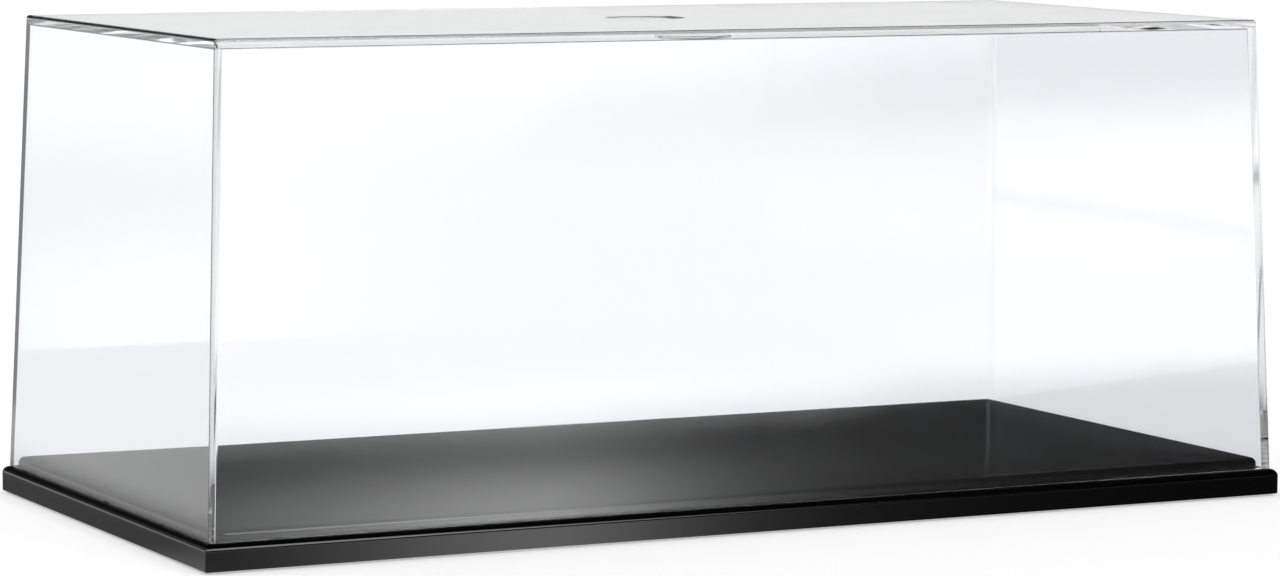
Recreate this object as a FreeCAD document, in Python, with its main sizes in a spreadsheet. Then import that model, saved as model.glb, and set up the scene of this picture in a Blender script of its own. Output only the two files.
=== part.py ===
import FreeCAD, Part
import os
import Sketcher
from FreeCAD import Vector

# A display case for a scale model: a clear moulded cover that lifts straight off a black
# moulded base. The base is a shallow hollow tray turned upside down. A plinth stands up from
# its top, the foot of the cover rests on the ledge around the plinth, and four rubber pads
# carry the tray. X runs along the case, Y from front to back, Z up from the surface it
# stands on, and the origin is in the middle of the footprint.

DIMENSIONS = {
    # base
    "base_length": 325.0,
    "base_width": 156.0,
    "floor_gap": 0.5,            # surface to the skirt's lower edge
    "skirt_height": 7.1,         # skirt's lower edge to the ledge
    "skirt_edge_radius": 2.0,
    "skirt_lip_radius": 0.4,
    "plinth_inset": 4.2,         # base's side to the plinth's side
    "plinth_rise": 3.05,         # ledge to the top of the plinth
    "plinth_corner_radius": 2.5,
    "plinth_edge_radius": 1.75,
    "base_wall": 2.0,
    "gate_dimple_diameter": 3.6,  # moulding mark in the middle of the plinth
    "gate_dimple_depth": 0.3,
    # stiffening ribs under the plinth
    "rib_thickness": 1.4,
    "rib_depth": 2.4,
    "cross_rib_span": 250.0,     # first to last cross rib
    "cross_rib_count": 6,
    "long_rib_span": 76.0,
    "long_rib_count": 3,
    # bosses in the corners of the tray, and the pads stuck under them
    "pad_inset_x": 15.0,         # base's side to a pad's centre
    "pad_inset_y": 15.0,
    "boss_diameter": 14.0,
    "pad_diameter": 11.0,
    "pad_thickness": 2.0,
    "pad_edge_radius": 0.4,
    # cover
    "cover_inset": 1.5,          # base's side to the cover's foot
    "cover_height": 126.9,
    "cover_draft_x": 4.2,        # how far each end leans in, foot to top
    "cover_draft_y": 5.0,
    "cover_top_thickness": 2.5,
    "cover_wall_foot": 2.05,
    "cover_wall_top": 2.3,
    "cover_edge_radius": 1.0,
    "cover_inner_radius": 0.4,
    "cover_foot_radius": 0.4,
    "notch_width": 8.8,          # pry notch in the middle of each end's foot
    "notch_height": 0.6,
    "gate_well_diameter": 22.6,  # shallow round well in the middle of the top
    "gate_well_depth": 0.35,
    "gate_well_radius": 0.25,    # where the well's wall meets its floor
    "gate_nub_diameter": 2.2,    # trimmed stub of the moulding gate, on the well's floor
    "gate_nub_height": 0.25,
}

SAME = 0.01                      # lengths closer than this count as equal
BAD_STATES = ("Invalid", "Error")

doc = FreeCAD.newDocument("display_case")
sheet = doc.addObject("Spreadsheet::Sheet", "Dimensions")
for row, (alias, value) in enumerate(DIMENSIONS.items(), start=1):
    sheet.set("A%d" % row, alias)
    sheet.set("B%d" % row, str(value))
    sheet.setAlias("B%d" % row, alias)
doc.recompute()


def cells(formula):
    """The formula with each driving dimension's name turned into its cell."""
    words = formula.replace("(", " ( ").replace(")", " ) ").split()
    return " ".join("Dimensions." + w if w in DIMENSIONS else w for w in words)


# Levels above the surface, and sizes that several features share.
LEDGE_Z = "floor_gap + skirt_height"
PLINTH_Z = LEDGE_Z + " + plinth_rise"
COVER_TOP_Z = LEDGE_Z + " + cover_height"
CAVITY_TOP_Z = COVER_TOP_Z + " - cover_top_thickness"
CEILING_Z = PLINTH_Z + " - base_wall"
PLINTH_LENGTH = "base_length - 2 * plinth_inset"
PLINTH_WIDTH = "base_width - 2 * plinth_inset"
FOOT_LENGTH = "base_length - 2 * cover_inset"
FOOT_WIDTH = "base_width - 2 * cover_inset"
PAD_X = "base_length / 2 - pad_inset_x"
PAD_Y = "base_width / 2 - pad_inset_y"


# ------------------------------------------------------------------ sketches

def origin_plane(body, role):
    for feature in body.Origin.OriginFeatures:
        if feature.Role == role:
            return feature
    raise LookupError(role)


def new_sketch(body, name, plane, level):
    """An empty sketch on an origin plane, moved along the plane's normal to a level."""
    sketch = body.newObject("Sketcher::SketchObject", name)
    sketch.AttachmentSupport = [(origin_plane(body, plane), "")]
    sketch.MapMode = "FlatFace"
    sketch.setExpression("AttachmentOffset.Base.z", cells(level))
    return sketch


def bind(sketch, constraint, name, formula):
    index = sketch.addConstraint(constraint)
    sketch.renameConstraint(index, name)
    sketch.setExpression("Constraints." + name, cells(formula))


def rectangle(body, name, level, length, width):
    """A sketch with one rectangle centred on the Z axis."""
    sketch = new_sketch(body, name, "XY_Plane", level)
    corners = [Vector(-1, -1, 0), Vector(1, -1, 0), Vector(1, 1, 0), Vector(-1, 1, 0)]
    for here, there in zip(corners, corners[1:] + corners[:1]):
        sketch.addGeometry(Part.LineSegment(here, there), False)
    for line in range(4):
        sketch.addConstraint(Sketcher.Constraint("Coincident", line, 2, (line + 1) % 4, 1))
        direction = "Horizontal" if line % 2 == 0 else "Vertical"
        sketch.addConstraint(Sketcher.Constraint(direction, line))
    sketch.addConstraint(Sketcher.Constraint("Symmetric", 0, 1, 1, 2, -1, 1))
    bind(sketch, Sketcher.Constraint("DistanceX", 0, 1, 0, 2, 2.0), "along_x", length)
    bind(sketch, Sketcher.Constraint("DistanceY", 1, 1, 1, 2, 2.0), "along_y", width)
    return sketch


def strip(body, name, level, start_x, start_y, length, width):
    """A sketch with one rectangle whose middle is at (start_x, start_y)."""
    sketch = rectangle(body, name, level, length, width)
    sketch.setExpression("AttachmentOffset.Base.x", cells(start_x))
    sketch.setExpression("AttachmentOffset.Base.y", cells(start_y))
    return sketch


def disc(body, name, level, diameter, centre_x="0", centre_y="0"):
    """A sketch with one circle about (centre_x, centre_y)."""
    sketch = new_sketch(body, name, "XY_Plane", level)
    sketch.addGeometry(Part.Circle(Vector(0, 0, 0), Vector(0, 0, 1), 5.0), False)
    sketch.addConstraint(Sketcher.Constraint("Coincident", 0, 3, -1, 1))
    bind(sketch, Sketcher.Constraint("Diameter", 0, 10.0), "across", diameter)
    sketch.setExpression("AttachmentOffset.Base.x", cells(centre_x))
    sketch.setExpression("AttachmentOffset.Base.y", cells(centre_y))
    return sketch


# ------------------------------------------------------------------ features

def new_body(name):
    body = doc.addObject("PartDesign::Body", name)
    body.Label = name
    return body


def extrude(body, kind, name, sketch, depth, downwards=False):
    """A Pad or a Pocket of a sketch; its effect on the volume is checked."""
    before = body.Shape.Volume if body.Tip else 0.0
    feature = body.newObject("PartDesign::" + kind, name)
    feature.Profile = sketch
    feature.setExpression("Length", cells(depth))
    # A Pocket runs against the sketch's normal unless it is reversed, a Pad along it.
    feature.Reversed = downwards if kind == "Pad" else not downwards
    doc.recompute()
    gained = body.Shape.Volume - before
    if (gained > 0) != (kind == "Pad"):
        raise RuntimeError("%s points the wrong way" % name)
    return feature


def wedge(body, kind, name, low_level, high_level, low_size, high_size):
    """A frustum with flat sides between two centred rectangles, added or taken away."""
    before = body.Shape.Volume if body.Tip else 0.0
    feature = body.newObject("PartDesign::" + kind, name)
    # On the XZ plane the frustum's own Y is the height and its own Z runs along -Y.
    feature.AttachmentSupport = [(origin_plane(body, "XZ_Plane"), "")]
    feature.MapMode = "FlatFace"
    limits = {
        "Xmin": "0 - ( %s ) / 2" % low_size[0], "Xmax": "( %s ) / 2" % low_size[0],
        "Zmin": "0 - ( %s ) / 2" % low_size[1], "Zmax": "( %s ) / 2" % low_size[1],
        "X2min": "0 - ( %s ) / 2" % high_size[0], "X2max": "( %s ) / 2" % high_size[0],
        "Z2min": "0 - ( %s ) / 2" % high_size[1], "Z2max": "( %s ) / 2" % high_size[1],
        "Ymin": low_level, "Ymax": high_level,
    }
    for limit, formula in limits.items():
        feature.setExpression(limit, cells(formula))
    doc.recompute()
    if (body.Shape.Volume > before) != (kind == "AdditiveWedge"):
        raise RuntimeError("%s did nothing" % name)
    return feature


def fillet(body, name, radius, wanted):
    """Rounds every edge of the body for which wanted(edge) holds."""
    base = body.Tip
    names = ["Edge%d" % (i + 1) for i, edge in enumerate(base.Shape.Edges) if wanted(edge)]
    if not names:
        raise RuntimeError("%s has no edges to round" % name)
    feature = body.newObject("PartDesign::Fillet", name)
    feature.Base = (base, names)
    feature.setExpression("Radius", cells(radius))
    doc.recompute()
    return feature


def repeat(body, name, original, axis, span, count):
    pattern = body.newObject("PartDesign::LinearPattern", name)
    pattern.Originals = [original]
    pattern.Direction = (origin_plane(body, axis), [""])
    pattern.setExpression("Length", cells(span))
    pattern.setExpression("Occurrences", cells(count))
    body.Tip = pattern
    doc.recompute()
    return pattern


def size(alias):
    return float(sheet.get(alias))


def at_level(edge, level):
    return all(abs(v.Z - level) < SAME for v in edge.Vertexes)


def rises(edge):
    return abs(edge.Vertexes[0].Z - edge.Vertexes[-1].Z) > 1.0


def reaches(edge, half_length, half_width):
    """The edge touches the outline of a centred rectangle of these half sizes."""
    return all(abs(abs(v.X) - half_length) < SAME or abs(abs(v.Y) - half_width) < SAME
               for v in edge.Vertexes)


# ------------------------------------------------------------------ base

def make_base():
    body = new_body("base")
    skirt_low, ledge = size("floor_gap"), size("floor_gap") + size("skirt_height")
    plinth_top = ledge + size("plinth_rise")

    outline = rectangle(body, "SkirtOutline", "floor_gap", "base_length", "base_width")
    extrude(body, "Pad", "Skirt", outline, "skirt_height")
    fillet(body, "SkirtEdge", "skirt_edge_radius", lambda e: at_level(e, ledge))

    outline = rectangle(body, "PlinthOutline", LEDGE_Z, PLINTH_LENGTH, PLINTH_WIDTH)
    extrude(body, "Pad", "Plinth", outline, "plinth_rise")
    fillet(body, "PlinthCorners", "plinth_corner_radius",
           lambda e: rises(e) and min(v.Z for v in e.Vertexes) > ledge - SAME)
    fillet(body, "PlinthEdge", "plinth_edge_radius", lambda e: at_level(e, plinth_top))

    # The tray is hollow from below, in two steps that follow the skirt and the plinth.
    outline = rectangle(body, "SkirtHollowOutline", "floor_gap",
                        "base_length - 2 * base_wall", "base_width - 2 * base_wall")
    extrude(body, "Pocket", "SkirtHollow", outline, "skirt_height - base_wall")
    outline = rectangle(body, "PlinthHollowOutline", "floor_gap",
                        PLINTH_LENGTH + " - 2 * base_wall", PLINTH_WIDTH + " - 2 * base_wall")
    extrude(body, "Pocket", "PlinthHollow", outline,
            "skirt_height + plinth_rise - base_wall")
    fillet(body, "SkirtLip", "skirt_lip_radius",
           lambda e: at_level(e, skirt_low)
           and reaches(e, size("base_length") / 2, size("base_width") / 2))

    outline = strip(body, "CrossRibOutline", CEILING_Z, "0 - cross_rib_span / 2",
                    "0", "rib_thickness", PLINTH_WIDTH + " - 2 * base_wall")
    rib = extrude(body, "Pad", "CrossRib", outline, "rib_depth", downwards=True)
    repeat(body, "CrossRibs", rib, "X_Axis", "cross_rib_span", "cross_rib_count")
    outline = strip(body, "LongRibOutline", CEILING_Z, "0",
                    "0 - long_rib_span / 2", PLINTH_LENGTH + " - 2 * base_wall",
                    "rib_thickness")
    rib = extrude(body, "Pad", "LongRib", outline, "rib_depth", downwards=True)
    repeat(body, "LongRibs", rib, "Y_Axis", "long_rib_span", "long_rib_count")

    # Each corner has a boss that a pad is stuck to.
    outline = disc(body, "BossOutline", CEILING_Z, "boss_diameter", "0 - ( " + PAD_X + " )",
                   "0 - ( " + PAD_Y + " )")
    boss = extrude(body, "Pad", "Boss", outline, CEILING_Z + " - pad_thickness",
                   downwards=True)
    repeat(body, "BossPair", boss, "X_Axis", "2 * ( " + PAD_X + " )", "2")
    outline = disc(body, "RearBossOutline", CEILING_Z, "boss_diameter",
                   "0 - ( " + PAD_X + " )", PAD_Y)
    boss = extrude(body, "Pad", "RearBoss", outline, CEILING_Z + " - pad_thickness",
                   downwards=True)
    repeat(body, "RearBossPair", boss, "X_Axis", "2 * ( " + PAD_X + " )",
           "2")

    outline = disc(body, "GateDimpleOutline", PLINTH_Z, "gate_dimple_diameter")
    extrude(body, "Pocket", "GateDimple", outline, "gate_dimple_depth", downwards=True)
    return body


# ------------------------------------------------------------------ cover

def make_cover():
    body = new_body("cover")
    ledge = size("floor_gap") + size("skirt_height")
    top = ledge + size("cover_height")
    cavity_top = top - size("cover_top_thickness")
    half_foot = (size("base_length") / 2 - size("cover_inset"),
                 size("base_width") / 2 - size("cover_inset"))

    wedge(body, "AdditiveWedge", "OuterForm", LEDGE_Z, COVER_TOP_Z, (FOOT_LENGTH, FOOT_WIDTH),
          (FOOT_LENGTH + " - 2 * cover_draft_x", FOOT_WIDTH + " - 2 * cover_draft_y"))
    fillet(body, "OuterEdges", "cover_edge_radius", lambda e: rises(e) or at_level(e, top))

    # The cavity leans with the walls, which thicken a little towards the top.
    share = "( cover_height - cover_top_thickness ) / cover_height"
    wedge(body, "SubtractiveWedge", "Cavity", LEDGE_Z, CAVITY_TOP_Z,
          (FOOT_LENGTH + " - 2 * cover_wall_foot", FOOT_WIDTH + " - 2 * cover_wall_foot"),
          (FOOT_LENGTH + " - 2 * cover_draft_x * " + share + " - 2 * cover_wall_top",
           FOOT_WIDTH + " - 2 * cover_draft_y * " + share + " - 2 * cover_wall_top"))

    def in_cavity(edge):
        foot = min(edge.Vertexes, key=lambda v: v.Z)
        upright = (rises(edge)
                   and abs(abs(foot.X) - half_foot[0] + size("cover_wall_foot")) < SAME
                   and abs(abs(foot.Y) - half_foot[1] + size("cover_wall_foot")) < SAME)
        return upright or at_level(edge, cavity_top)

    fillet(body, "InnerEdges", "cover_inner_radius", in_cavity)

    fillet(body, "FootEdge", "cover_foot_radius",
           lambda e: at_level(e, ledge) and reaches(e, *half_foot))

    outline = strip(body, "NotchOutline", LEDGE_Z, "0 - base_length / 2 + cover_inset",
                    "0", "4 * cover_wall_foot", "notch_width")
    notch = extrude(body, "Pocket", "Notch", outline, "notch_height")
    repeat(body, "Notches", notch, "X_Axis", FOOT_LENGTH, "2")

    outline = disc(body, "GateWellOutline", COVER_TOP_Z, "gate_well_diameter")
    extrude(body, "Pocket", "GateWell", outline, "gate_well_depth", downwards=True)
    well_floor = top - size("gate_well_depth")
    fillet(body, "GateWellFloor", "gate_well_radius", lambda e: at_level(e, well_floor))
    outline = disc(body, "GateNubOutline", COVER_TOP_Z + " - gate_well_depth",
                   "gate_nub_diameter")
    extrude(body, "Pad", "GateNub", outline, "gate_nub_height")
    return body


# ------------------------------------------------------------------ pads

def make_pad(name, side_x, side_y):
    """A round rubber pad under one corner; side_x and side_y are -1 or 1."""
    body = new_body(name)
    outline = disc(body, "Outline", "0", "pad_diameter")
    extrude(body, "Pad", "Disc", outline, "pad_thickness")
    fillet(body, "Edge", "pad_edge_radius", lambda e: at_level(e, 0.0))
    body.setExpression("Placement.Base.x", cells("%d * ( %s )" % (side_x, PAD_X)))
    body.setExpression("Placement.Base.y", cells("%d * ( %s )" % (side_y, PAD_Y)))
    return body


parts = [make_base(), make_cover()]
for across, side_x in (("left", -1), ("right", 1)):
    for depth, side_y in (("front", -1), ("back", 1)):
        parts.append(make_pad("foot_pad_%s_%s" % (depth, across), side_x, side_y))
doc.recompute()

for item in doc.Objects:
    if any(state in BAD_STATES for state in item.State):
        raise RuntimeError("%s failed: %s" % (item.Name, item.State))
os.makedirs("parts", exist_ok=True)
for part in parts:
    if part.Shape.isNull() or not part.Shape.isValid() or len(part.Shape.Solids) != 1:
        raise RuntimeError("%s is not one valid solid" % part.Label)
for part in parts:
    part.Shape.exportStep("parts/%s.step" % part.Label)
    box = part.Shape.BoundBox
    print("%-24s %8.2f cm3   x %.2f..%.2f  y %.2f..%.2f  z %.2f..%.2f" % (
        part.Label, part.Shape.Volume / 1000.0,
        box.XMin, box.XMax, box.YMin, box.YMax, box.ZMin, box.ZMax))
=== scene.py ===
import math

import bmesh
import bpy
from mathutils import Matrix, Vector


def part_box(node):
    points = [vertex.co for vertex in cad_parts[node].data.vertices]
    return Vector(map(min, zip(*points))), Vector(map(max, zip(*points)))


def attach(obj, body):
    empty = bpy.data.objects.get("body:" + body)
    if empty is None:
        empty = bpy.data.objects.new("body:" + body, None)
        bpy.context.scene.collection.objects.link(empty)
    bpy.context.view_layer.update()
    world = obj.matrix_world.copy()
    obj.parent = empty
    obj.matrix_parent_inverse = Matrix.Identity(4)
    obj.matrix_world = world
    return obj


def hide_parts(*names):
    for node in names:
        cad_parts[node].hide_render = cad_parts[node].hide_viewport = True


# The looks of a display case for a scale model: a clear moulded cover on a black moulded
# base with a plinth. The cover and the base are rebuilt here as smooth lofted mouldings
# inside the boxes of their CAD nodes, and the rubber pads keep their CAD shape.

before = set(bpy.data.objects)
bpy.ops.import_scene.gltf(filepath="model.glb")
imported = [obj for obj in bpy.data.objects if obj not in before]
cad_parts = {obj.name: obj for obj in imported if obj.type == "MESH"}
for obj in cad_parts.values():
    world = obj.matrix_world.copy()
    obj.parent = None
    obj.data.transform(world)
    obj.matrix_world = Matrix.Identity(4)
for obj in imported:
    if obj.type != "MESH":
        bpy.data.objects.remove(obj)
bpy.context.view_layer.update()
MM = 0.001

base_low, base_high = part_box("base")
cover_low, cover_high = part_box("cover")


# ------------------------------------------------------------------ mesh helpers

CORNER_STEPS = 8
BLOCK_EASE = 0.15 * MM
AXIS_RADIUS = 0.05 * MM             # a lathe's innermost ring, so that its caps are plain
MERGE_GAP, SLIVER_GAP = 0.002 * MM, 0.001 * MM


def ring(half_x, half_y, level, corner_radius):
    """Points of a level rounded rectangle about the Z axis, anticlockwise seen from above."""
    points = []
    for quarter in range(4):
        side_x = 1 if quarter in (0, 3) else -1
        side_y = 1 if quarter in (0, 1) else -1
        centre_x = side_x * (half_x - corner_radius)
        centre_y = side_y * (half_y - corner_radius)
        for step in range(CORNER_STEPS + 1):
            angle = (quarter + step / CORNER_STEPS) * math.pi / 2
            points.append((centre_x + corner_radius * math.cos(angle),
                           centre_y + corner_radius * math.sin(angle), level))
    return points


def loft(name, rings, closed=False):
    """A mesh through rings of equal length; its ends are capped, or joined if closed."""
    bm = bmesh.new()
    loops = [[bm.verts.new(point) for point in points] for points in rings]
    pairs = list(zip(loops, loops[1:] + loops[:1])) if closed else list(zip(loops, loops[1:]))
    for lower, upper in pairs:
        for i in range(len(lower)):
            j = (i + 1) % len(lower)
            bm.faces.new((lower[i], lower[j], upper[j], upper[i]))
    if not closed:
        bm.faces.new(list(reversed(loops[0])))
        bm.faces.new(loops[-1])
    bmesh.ops.recalc_face_normals(bm, faces=bm.faces)
    return to_object(name, bm)


def lathe(name, profile, steps, centre=(0.0, 0.0)):
    """A solid of revolution about an upright axis, from (radius, level) pairs."""
    rings = []
    for radius, level in profile:
        rings.append([(centre[0] + radius * math.cos(2 * math.pi * i / steps),
                       centre[1] + radius * math.sin(2 * math.pi * i / steps), level)
                      for i in range(steps)])
    return loft(name, rings)


def block(name, low, high):
    """A box between two corners, with its upright edges slightly eased."""
    half = [(b - a) / 2 for a, b in zip(low, high)]
    middle = [(b + a) / 2 for a, b in zip(low, high)]
    ease = min(BLOCK_EASE, half[0] / 2, half[1] / 2)
    rings = [[(x + middle[0], y + middle[1], z) for x, y, z in ring(half[0], half[1], z, ease)]
             for z in (low[2], high[2])]
    return loft(name, rings)


def to_object(name, bm):
    """A scene object from a bmesh, which is freed."""
    mesh = bpy.data.meshes.new(name)
    bm.to_mesh(mesh)
    bm.free()
    obj = bpy.data.objects.new(name, mesh)
    bpy.context.scene.collection.objects.link(obj)
    return obj


def combine(obj, tools, operation):
    """Boolean of obj with each tool, applied to obj's mesh; the tools are deleted."""
    for tool in tools:
        modifier = obj.modifiers.new(operation.title(), "BOOLEAN")
        modifier.operation = operation
        modifier.solver = "EXACT"
        modifier.object = tool
        bpy.context.view_layer.objects.active = obj
        bpy.ops.object.modifier_apply(modifier=modifier.name)
        mesh = tool.data
        bpy.data.objects.remove(tool)
        bpy.data.meshes.remove(mesh)


def smooth(obj, sharp_degrees=35.0):
    """Smooth shading that keeps flat faces flat and edges over the angle sharp."""
    bm = bmesh.new()
    bm.from_mesh(obj.data)
    bmesh.ops.remove_doubles(bm, verts=bm.verts, dist=MERGE_GAP)
    bmesh.ops.dissolve_degenerate(bm, edges=bm.edges, dist=SLIVER_GAP)
    for face in bm.faces:
        face.smooth = True
    for edge in bm.edges:
        angle = edge.calc_face_angle(0.0)
        edge.smooth = angle < math.radians(sharp_degrees)
    bm.to_mesh(obj.data)
    bm.free()
    weighted = obj.modifiers.new("FlatFaces", "WEIGHTED_NORMAL")
    weighted.mode = "FACE_AREA"
    weighted.weight = 100
    weighted.keep_sharp = True
    return obj


def arc(steps):
    """Angles from 0 to a right angle."""
    return [math.pi / 2 * i / steps for i in range(steps + 1)]


# ------------------------------------------------------------------ material helpers

class Nodes:
    """A short way to write a node tree."""

    def __init__(self, tree):
        self.tree = tree
        tree.nodes.clear()

    def add(self, kind, **inputs):
        node = self.tree.nodes.new(kind)
        for key, value in inputs.items():
            self.feed(node.inputs[key.replace("_", " ")], value)
        return node

    def feed(self, socket, value):
        if isinstance(value, bpy.types.NodeSocket):
            self.tree.links.new(value, socket)
        else:
            socket.default_value = value

    def math(self, operation, first, second=0.0):
        node = self.tree.nodes.new("ShaderNodeMath")
        node.operation = operation
        self.feed(node.inputs[0], first)
        self.feed(node.inputs[1], second)
        return node.outputs[0]

    def times(self, *values):
        result = values[0]
        for value in values[1:]:
            result = self.math("MULTIPLY", result, value)
        return result

    def plus(self, *values):
        result = values[0]
        for value in values[1:]:
            result = self.math("ADD", result, value)
        return result

    def span(self, value, start, end, low=0.0, high=1.0):
        """low at start, high at end, with a soft passage between."""
        node = self.tree.nodes.new("ShaderNodeMapRange")
        node.interpolation_type = "SMOOTHSTEP"
        self.feed(node.inputs["Value"], value)
        if start > end:
            start, end, low, high = end, start, high, low
        for key, number in zip(("From Min", "From Max", "To Min", "To Max"),
                               (start, end, low, high)):
            node.inputs[key].default_value = number
        return node.outputs["Result"]

    def hump(self, value, rise_start, rise_end, fall_start, fall_end):
        """0 outside, 1 between rise_end and fall_start."""
        return self.times(self.span(value, rise_start, rise_end),
                          self.span(value, fall_start, fall_end, 1.0, 0.0))

    def bell(self, value, centre, width_below, width_above):
        """1 at the centre, a quarter one width away from it, with long soft tails."""
        away = self.math("SUBTRACT", value, centre)
        away = self.plus(self.times(self.math("MAXIMUM", away, 0.0), 1.0 / width_above),
                         self.times(self.math("MINIMUM", away, 0.0), 1.0 / width_below))
        falling = self.plus(self.times(away, away), 1.0)
        return self.math("DIVIDE", 1.0, self.times(falling, falling))

    def noise(self, coordinates, scale, detail=2.0, roughness=0.5):
        return self.add("ShaderNodeTexNoise", Vector=coordinates, Scale=scale,
                        Detail=detail, Roughness=roughness).outputs["Fac"]


def new_material(name):
    material = bpy.data.materials.new(name)
    material.use_nodes = True
    return material, Nodes(material.node_tree)


def wear(obj, material):
    obj.data.materials.clear()
    obj.data.materials.append(material)


# ------------------------------------------------------------------ materials

def clear_plastic():
    """Refracting, nearly smooth plastic with a faint ripple and smears, cool in tint.

    Lights pass straight through it, so the case keeps the floor inside it lit.
    """
    material, n = new_material("clear_polystyrene")
    place = n.add("ShaderNodeTexCoord").outputs["Object"]
    ripple = n.noise(place, 55.0, 1.0)
    bump = n.add("ShaderNodeBump", Strength=0.06, Distance=0.0002, Height=ripple)
    smear = n.span(n.noise(place, 22.0, 4.0, 0.6), 0.35, 0.75, 0.0, 0.03)
    shader = n.add("ShaderNodeBsdfPrincipled", Roughness=smear, Normal=bump.outputs[0])
    shader.inputs["Base Color"].default_value = (0.933, 0.945, 0.962, 1.0)
    shader.inputs["IOR"].default_value = 1.57
    shader.inputs["Transmission Weight"].default_value = 1.0
    shadow = n.add("ShaderNodeBsdfTransparent")
    path = n.add("ShaderNodeLightPath")
    mix = n.add("ShaderNodeMixShader")
    n.feed(mix.inputs[0], path.outputs["Is Shadow Ray"])
    n.feed(mix.inputs[1], shader.outputs[0])
    n.feed(mix.inputs[2], shadow.outputs[0])
    n.add("ShaderNodeOutputMaterial", Surface=mix.outputs[0])
    return material


def black_plastic():
    """Glossy black plastic with a faint grain and a slightly uneven shine."""
    material, n = new_material("black_polystyrene")
    place = n.add("ShaderNodeTexCoord").outputs["Object"]
    cloud = n.noise(place, 30.0, 4.0, 0.6)
    roughness = n.span(cloud, 0.3, 0.7, 0.05, 0.08)
    grain = n.noise(place, 1800.0, 2.0)
    bump = n.add("ShaderNodeBump", Strength=0.05, Distance=0.00005, Height=grain)
    shader = n.add("ShaderNodeBsdfPrincipled", Roughness=roughness, Normal=bump.outputs[0])
    shader.inputs["Base Color"].default_value = (0.001, 0.001, 0.0011, 1.0)
    shader.inputs["IOR"].default_value = 1.5
    n.add("ShaderNodeOutputMaterial", Surface=shader.outputs[0])
    return material


def pad_rubber():
    """Dull black rubber with a fine grain."""
    material, n = new_material("pad_rubber")
    place = n.add("ShaderNodeTexCoord").outputs["Object"]
    grain = n.noise(place, 2500.0, 3.0)
    bump = n.add("ShaderNodeBump", Strength=0.4, Distance=0.0001, Height=grain)
    roughness = n.span(grain, 0.3, 0.7, 0.6, 0.8)
    shader = n.add("ShaderNodeBsdfPrincipled", Roughness=roughness, Normal=bump.outputs[0])
    shader.inputs["Base Color"].default_value = (0.02, 0.02, 0.021, 1.0)
    n.add("ShaderNodeOutputMaterial", Surface=shader.outputs[0])
    return material


# ------------------------------------------------------------------ cover

COVER_LIFT = 0.04 * MM              # air gap that keeps the foot off the ledge
COVER_CORNER = 1.0 * MM             # upright corners, seen from above
COVER_ROUND = 0.9 * MM              # edge round the top
COVER_DRAFT = Vector((4.2, 5.0)) * MM   # how far the walls lean in over their height
WALL_FOOT, WALL_TOP, TOP_THICK = 2.05 * MM, 2.3 * MM, 2.5 * MM
INNER_ROUND, INNER_CORNER = 0.4 * MM, 0.5 * MM
FOOT_ROUND = 0.4 * MM
NOTCH_HALF, NOTCH_HIGH = 4.4 * MM, 0.6 * MM
WELL_RADIUS, WELL_DEPTH, WELL_ROUND = 11.3 * MM, 0.35 * MM, 0.25 * MM
NUB_RADIUS, NUB_HIGH = 1.1 * MM, 0.25 * MM


def make_cover():
    """The clear shell: inside from the ceiling down, round the foot, and up the outside."""
    foot, top = cover_low.z + COVER_LIFT, cover_high.z
    height = top - cover_low.z
    ceiling = top - TOP_THICK

    def outer(level, inset, radius):
        lean = COVER_DRAFT * (level - cover_low.z) / height
        return ring(cover_high.x - lean.x - inset, cover_high.y - lean.y - inset, level,
                    radius)

    def inner(level, inset, radius):
        lean = COVER_DRAFT * (level - cover_low.z) / height
        wall = WALL_FOOT + (WALL_TOP - WALL_FOOT) * (level - foot) / (ceiling - foot)
        return ring(cover_high.x - lean.x - wall - inset,
                    cover_high.y - lean.y - wall - inset, level, radius)

    rings = []
    for angle in reversed(arc(5)):
        rings.append(inner(ceiling - INNER_ROUND * (1 - math.sin(angle)),
                           INNER_ROUND * (1 - math.cos(angle)),
                           INNER_CORNER - INNER_ROUND * (1 - math.cos(angle))))
    rings.append(inner(foot, 0.0, INNER_CORNER))
    for angle in arc(6):
        rings.append(outer(foot + FOOT_ROUND * (1 - math.cos(angle)),
                           FOOT_ROUND * (1 - math.sin(angle)),
                           COVER_CORNER - FOOT_ROUND * (1 - math.sin(angle))))
    for angle in arc(10):
        rings.append(outer(top - COVER_ROUND * (1 - math.sin(angle)),
                           COVER_ROUND * (1 - math.cos(angle)),
                           COVER_CORNER - COVER_ROUND * (1 - math.cos(angle))))
    shell = loft("cover_shell", rings)

    notches = []
    for side in (-1, 1):
        end = side * cover_high.x
        notches.append(block("notch", (end - 4 * WALL_FOOT, -NOTCH_HALF, foot - MM),
                             (end + 4 * WALL_FOOT, NOTCH_HALF, foot + NOTCH_HIGH)))
    floor = top - WELL_DEPTH
    profile = [(AXIS_RADIUS, floor + NUB_HIGH), (NUB_RADIUS, floor + NUB_HIGH),
               (NUB_RADIUS, floor)]
    profile += [(WELL_RADIUS - WELL_ROUND * (1 - math.sin(a)),
                 floor + WELL_ROUND * (1 - math.cos(a))) for a in arc(6)]
    profile += [(WELL_RADIUS, top + MM), (AXIS_RADIUS, top + MM)]
    well = lathe("well", profile, 96)
    combine(shell, notches + [well], "DIFFERENCE")
    smooth(shell)
    wear(shell, clear_plastic())
    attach(shell, "cover")
    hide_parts("cover")
    return shell


# ------------------------------------------------------------------ base

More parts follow.
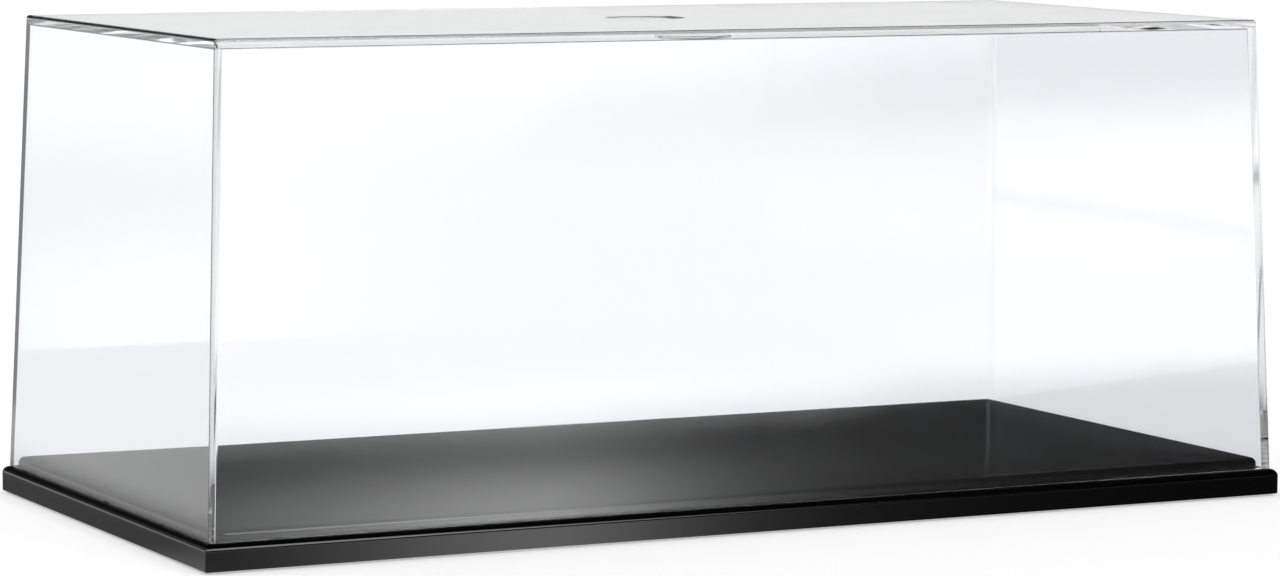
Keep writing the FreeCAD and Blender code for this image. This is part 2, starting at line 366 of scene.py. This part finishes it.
LEDGE = cover_low.z
SKIRT_ROUND, SKIRT_CORNER, LIP_ROUND = 2.0 * MM, 0.25 * MM, 0.4 * MM
PLINTH_INSET, PLINTH_ROUND, PLINTH_CORNER = 4.2 * MM, 1.75 * MM, 2.5 * MM
PLINTH_FOOT_ROUND = 0.15 * MM
LEAST_CORNER = 0.12 * MM
BASE_WALL = 2.0 * MM
CROWN_DROP, CROWN_WIDTH, CROWN_STEPS = 0.08 * MM, 34.0 * MM, 8
HOLLOW_ROUND, HOLLOW_CORNER = 0.5 * MM, 0.6 * MM
RIB_THICK, RIB_DEEP = 1.4 * MM, 2.4 * MM
CROSS_RIBS = [(-125 + 50 * i) * MM for i in range(6)]
LONG_RIBS = [(-38 + 38 * i) * MM for i in range(3)]
PAD_INSET, PAD_THICK = 15.0 * MM, 2.0 * MM
BOSS_RADIUS, BOSS_EASE = 7.0 * MM, 0.4 * MM
DIMPLE_RADIUS, DIMPLE_DEPTH, DIMPLE_ROUND = 1.8 * MM, 0.3 * MM, 0.25 * MM


def make_base():
    """The black tray: up the skirt, over the ledge and the plinth, hollowed and ribbed below."""
    half_x, half_y = base_high.x, base_high.y
    low, top = base_low.z, base_high.z

    def at(inset, level, corner=LEAST_CORNER):
        return ring(half_x - inset, half_y - inset, level, max(corner, LEAST_CORNER))

    rings = [at(BASE_WALL + LIP_ROUND / 2, low, SKIRT_CORNER)]
    for angle in arc(5):
        offset = LIP_ROUND * (1 - math.sin(angle))
        rings.append(at(offset, low + LIP_ROUND * (1 - math.cos(angle)),
                        SKIRT_CORNER - offset))
    for angle in arc(10):
        offset = SKIRT_ROUND * (1 - math.cos(angle))
        rings.append(at(offset, LEDGE - SKIRT_ROUND * (1 - math.sin(angle)),
                        SKIRT_CORNER - offset))
    for angle in arc(3):
        rings.append(at(PLINTH_INSET - PLINTH_FOOT_ROUND * (1 - math.sin(angle)),
                        LEDGE + PLINTH_FOOT_ROUND * (1 - math.cos(angle)), PLINTH_CORNER))
    edge = top - CROWN_DROP
    for angle in arc(10):
        offset = PLINTH_ROUND * (1 - math.cos(angle))
        rings.append(at(PLINTH_INSET + offset, edge - PLINTH_ROUND * (1 - math.sin(angle)),
                        PLINTH_CORNER - offset))
    for step in range(1, CROWN_STEPS + 1):
        share = step / CROWN_STEPS
        rings.append(at(PLINTH_INSET + PLINTH_ROUND + CROWN_WIDTH * share,
                        top - CROWN_DROP * (1 - share) ** 2))
    tray = loft("base_tray", rings)

    def hollow(name, inset, ceiling):
        shape = [at(inset, low - MM, HOLLOW_CORNER),
                 at(inset, ceiling - HOLLOW_ROUND, HOLLOW_CORNER)]
        for angle in arc(4)[1:]:
            offset = HOLLOW_ROUND * (1 - math.cos(angle))
            shape.append(at(inset + offset, ceiling - HOLLOW_ROUND * (1 - math.sin(angle)),
                            HOLLOW_CORNER - offset))
        return loft(name, shape)

    ceiling = top - BASE_WALL
    floor = top - DIMPLE_DEPTH
    profile = [(AXIS_RADIUS, floor)]
    profile += [(DIMPLE_RADIUS - DIMPLE_ROUND * (1 - math.sin(a)),
                 floor + DIMPLE_ROUND * (1 - math.cos(a))) for a in arc(5)]
    profile += [(DIMPLE_RADIUS, top + MM), (AXIS_RADIUS, top + MM)]
    combine(tray, [lathe("dimple", profile, 48),
                   hollow("skirt_hollow", BASE_WALL, LEDGE - BASE_WALL),
                   hollow("plinth_hollow", PLINTH_INSET + BASE_WALL, ceiling)],
            "DIFFERENCE")

    reach_x = half_x - PLINTH_INSET - BASE_WALL / 2
    reach_y = half_y - PLINTH_INSET - BASE_WALL / 2
    ribs = []
    for x in CROSS_RIBS:
        ribs.append(block("rib", (x - RIB_THICK / 2, -reach_y, ceiling - RIB_DEEP),
                          (x + RIB_THICK / 2, reach_y, ceiling + MM)))
    for y in LONG_RIBS:
        ribs.append(block("rib", (-reach_x, y - RIB_THICK / 2, ceiling - RIB_DEEP),
                          (reach_x, y + RIB_THICK / 2, ceiling + MM)))
    for side_x in (-1, 1):
        for side_y in (-1, 1):
            centre = (side_x * (half_x - PAD_INSET), side_y * (half_y - PAD_INSET))
            ribs.append(lathe("boss", [(BOSS_RADIUS - BOSS_EASE, PAD_THICK),
                                       (BOSS_RADIUS, PAD_THICK + BOSS_EASE),
                                       (BOSS_RADIUS, ceiling + MM)], 48, centre))
    combine(tray, ribs, "UNION")
    smooth(tray)
    wear(tray, black_plastic())
    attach(tray, "base")
    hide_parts("base")
    return tray


# ------------------------------------------------------------------ studio

FLOOR_HALF = 30.0                   # metres
PAPER_COLOUR, PAPER_GLOW = (0.9, 0.9, 0.9, 1.0), 0.45
WHITE = (1.0, 1.0, 1.0, 1.0)
WHITE_BACKGROUND = 1.1

# Painted light on the floor that only mirror rays see: a painted streak of light in front of the
# base and painted glows to the left and behind, on a dark level. Distances are in millimetres;
# reach is measured forward from a line just in front of the base.
PAINTED_FLOOR_DARK = 0.04
REACH_START = -94.0
STREAK_OFFSET, STREAK_SLOPE = 62.0, -0.477
STREAK_WIDTH_LEFT, STREAK_WIDTH_RIGHT, STREAK_SPREAD = 75.0, 60.0, 1.0 / 1080.0
STREAK_NEAR, STREAK_FAR = 2.55, 1.1
LEFT_GLOW, LEFT_GLOW_NEAR = 0.98, 0.2
BEHIND_GLOW = 0.8

# Brightness of the low light in front of the case: towards the left, towards the right, and
# where the table meets the horizon.
FRONT_LEFT_GLOW, FRONT_RIGHT_GLOW = 1.4, 0.1
FRONT_FAR_GLOW = 2.2

BACKDROP_GLOW, BACK_GLOW, ROOM_DARK = 0.8, 0.02, 0.02
FRONT_BOX, LEFT_BOX = 5.5, 1.2


def painted_floor_light(n, x, y):
    """Painted light on the floor as mirror rays see it: a soft painted streak of light in front,
    painted pale glow at the far edges.
    """
    reach = n.plus(n.times(y, -1.0), REACH_START)
    across = n.plus(x, n.times(reach, STREAK_SLOPE), STREAK_OFFSET)
    across = n.math("DIVIDE", across, n.plus(n.times(reach, STREAK_SPREAD), 1.0))
    across = n.plus(n.math("MAXIMUM", across, 0.0),
                    n.times(n.math("MINIMUM", across, 0.0),
                            n.span(reach, 0.0, 110.0, 1.0, 0.68)))
    # Painted streak of light on the floor in front of the base, seen only in reflections.
    painted_streak = n.times(n.bell(across, 0.0, STREAK_WIDTH_LEFT, STREAK_WIDTH_RIGHT),
                     n.span(reach, 110.0, 340.0, STREAK_NEAR, STREAK_FAR))
    right = n.span(n.math("DIVIDE", x, n.times(y, -1.0)), 0.50, 0.60)
    far = n.span(n.plus(reach, n.times(right, -90.0)), 330.0, 680.0, 0.0, FRONT_FAR_GLOW)
    front = n.times(n.plus(n.times(painted_streak, n.span(reach, 430.0, 900.0, 1.0, 0.0)), far),
                    n.span(y, -85.0, -20.0, 1.0, 0.0))
    left = n.times(n.span(x, -212.0, -170.0, LEFT_GLOW, LEFT_GLOW_NEAR),
                   n.span(x, -166.0, -150.0, 1.0, 0.0),
                   n.span(y, -500.0, -250.0))
    behind = n.math("MAXIMUM", n.span(y, 85.0, 160.0),
                    n.times(n.span(x, 170.0, 300.0), n.span(y, -200.0, 0.0)))
    behind = n.times(behind, n.span(x, -170.0, -150.0), BEHIND_GLOW)
    # The dark level under the painted light is painted too.
    return n.plus(front, left, behind, PAINTED_FLOOR_DARK)


def make_floor():
    """A wide floor, plain and pale as such. Mirror rays see painted light on it instead: a
    painted streak and glows that stand in for a lit table.
    """
    bm = bmesh.new()
    half = FLOOR_HALF
    corners = [(-half, -half, 0), (half, -half, 0), (half, half, 0), (-half, half, 0)]
    bm.faces.new([bm.verts.new(corner) for corner in corners])
    floor = to_object("floor", bm)
    material, n = new_material("pale_floor_painted_reflections")
    place = n.add("ShaderNodeTexCoord").outputs["Object"]
    split = n.add("ShaderNodeSeparateXYZ", Vector=place)
    x = n.times(split.outputs["X"], 1000.0)
    y = n.times(split.outputs["Y"], 1000.0)
    # Painted reflection: an emission pattern on the floor that only mirror rays see.
    painted_reflection = n.add("ShaderNodeEmission", Color=WHITE, Strength=painted_floor_light(n, x, y))
    matt = n.add("ShaderNodeBsdfDiffuse", Color=PAPER_COLOUR)
    shine = n.add("ShaderNodeEmission", Strength=PAPER_GLOW)
    paper = n.add("ShaderNodeAddShader")
    n.feed(paper.inputs[0], matt.outputs[0])
    n.feed(paper.inputs[1], shine.outputs[0])
    path = n.add("ShaderNodeLightPath")
    mix = n.add("ShaderNodeMixShader")
    # Rays after a mirror bounce get the painted light; all other rays see the plain paper.
    n.feed(mix.inputs[0], n.math("GREATER_THAN", path.outputs["Glossy Depth"], 0.5))
    n.feed(mix.inputs[1], paper.outputs[0])
    n.feed(mix.inputs[2], painted_reflection.outputs[0])
    n.add("ShaderNodeOutputMaterial", Surface=mix.outputs[0])
    wear(floor, material)
    return floor


def make_world():
    """A dark room with a low pale backdrop behind, a low glow in front and two soft boxes.

    Rays that reach it straight or only through clear walls see plain white instead.
    """
    world = bpy.data.worlds.new("studio")
    bpy.context.scene.world = world
    world.use_nodes = True
    n = Nodes(world.node_tree)
    direction = n.add("ShaderNodeTexCoord").outputs["Generated"]
    split = n.add("ShaderNodeSeparateXYZ", Vector=direction)
    x, y, z = (split.outputs[k] for k in "XYZ")
    degrees = 180.0 / math.pi
    elevation = n.times(n.math("ARCSINE", z), degrees)
    front_azimuth = n.times(n.math("ARCTAN2", x, n.times(y, -1.0)), degrees)
    back_azimuth = n.times(n.math("ARCTAN2", x, y), degrees)

    backdrop = n.times(n.span(elevation, 3.8, 6.0, BACKDROP_GLOW, 0.0), n.span(y, -0.3, 0.1))
    above = n.span(elevation, -0.2, 0.8)
    sideways = n.span(front_azimuth, 26.6, 31.0, FRONT_LEFT_GLOW, FRONT_RIGHT_GLOW)
    low = n.plus(n.times(sideways, above),
                 n.times(n.math("SUBTRACT", 1.0, above), FRONT_FAR_GLOW))
    low = n.times(low, n.span(elevation, 1.2, 3.2, 1.0, 0.0), n.span(y, -0.3, 0.1, 1.0, 0.0))
    glow = n.times(n.span(back_azimuth, 20.0, 31.0, BACK_GLOW, 0.0),
                   n.span(elevation, 5.0, 7.0), n.span(elevation, 10.0, 25.0, 1.0, 0.0))
    box = n.times(n.hump(front_azimuth, 19.0, 25.5, 26.5, 32.5),
                  n.hump(elevation, 15.0, 19.0, 36.0, 44.0), FRONT_BOX)
    left_box = n.times(n.hump(back_azimuth, -75.0, -60.0, -30.0, -15.0),
                       n.hump(elevation, 6.0, 15.0, 35.0, 50.0), LEFT_BOX)
    room = n.plus(backdrop, low, glow, box, left_box, ROOM_DARK)

    path = n.add("ShaderNodeLightPath")
    straight = n.times(n.math("MAXIMUM", path.outputs["Is Camera Ray"],
                              path.outputs["Is Transmission Ray"]),
                       n.math("LESS_THAN", path.outputs["Glossy Depth"], 0.5),
                       n.math("LESS_THAN", path.outputs["Diffuse Depth"], 0.5))
    level = n.plus(n.times(room, n.math("SUBTRACT", 1.0, straight)),
                   n.times(straight, WHITE_BACKGROUND))
    light = n.add("ShaderNodeBackground", Color=WHITE, Strength=level)
    n.add("ShaderNodeOutputWorld", Surface=light.outputs[0])


LAMP_STRENGTH, LAMP_SPREAD = 1.62, math.radians(100.0)


def make_lamp():
    """Wide overhead light for matt surfaces, which no mirror or clear surface shows."""
    data = bpy.data.lights.new("overhead", "SUN")
    data.angle = LAMP_SPREAD
    data.energy = LAMP_STRENGTH
    lamp = bpy.data.objects.new("overhead", data)
    bpy.context.scene.collection.objects.link(lamp)
    lamp.visible_glossy = False
    lamp.visible_transmission = False
    lamp.visible_camera = False
    return lamp


# ------------------------------------------------------------------ camera

CAMERA_PLACE = Vector((-0.57906, -1.14157, 0.19186))
CAMERA_YAW, CAMERA_PITCH, CAMERA_ROLL = (math.radians(a) for a in (26.8565, 5.951, -0.337))
CAMERA_LENS, SENSOR_WIDTH, FAR_CLIP = 128.685, 36.0, 100.0


def make_camera():
    data = bpy.data.cameras.new("camera")
    data.lens = CAMERA_LENS
    data.sensor_width = SENSOR_WIDTH
    data.clip_end = FAR_CLIP
    camera = bpy.data.objects.new("camera", data)
    bpy.context.scene.collection.objects.link(camera)
    turn = Matrix.Rotation(-CAMERA_YAW, 4, "Z")
    turn = turn @ Matrix.Rotation(math.pi / 2 - CAMERA_PITCH, 4, "X")
    turn = turn @ Matrix.Rotation(-CAMERA_ROLL, 4, "Z")
    camera.matrix_world = Matrix.Translation(CAMERA_PLACE) @ turn
    bpy.context.scene.camera = camera


# ------------------------------------------------------------------ build

make_cover()
make_base()
rubber = pad_rubber()
for depth in ("front", "back"):
    for across in ("left", "right"):
        wear(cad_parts["foot_pad_%s_%s" % (depth, across)], rubber)

make_floor()
make_world()
make_lamp()
make_camera()

# Light runs along the inside of the clear walls by dozens of reflections, which light the
# edges, so the limit on them is high.
WALL_BOUNCES, THROUGH_BOUNCES = 96, 24

scene = bpy.context.scene
scene.view_settings.view_transform = "Standard"
scene.cycles.max_bounces = WALL_BOUNCES
scene.cycles.glossy_bounces = WALL_BOUNCES
scene.cycles.transmission_bounces = THROUGH_BOUNCES
scene.cycles.transparent_max_bounces = THROUGH_BOUNCES
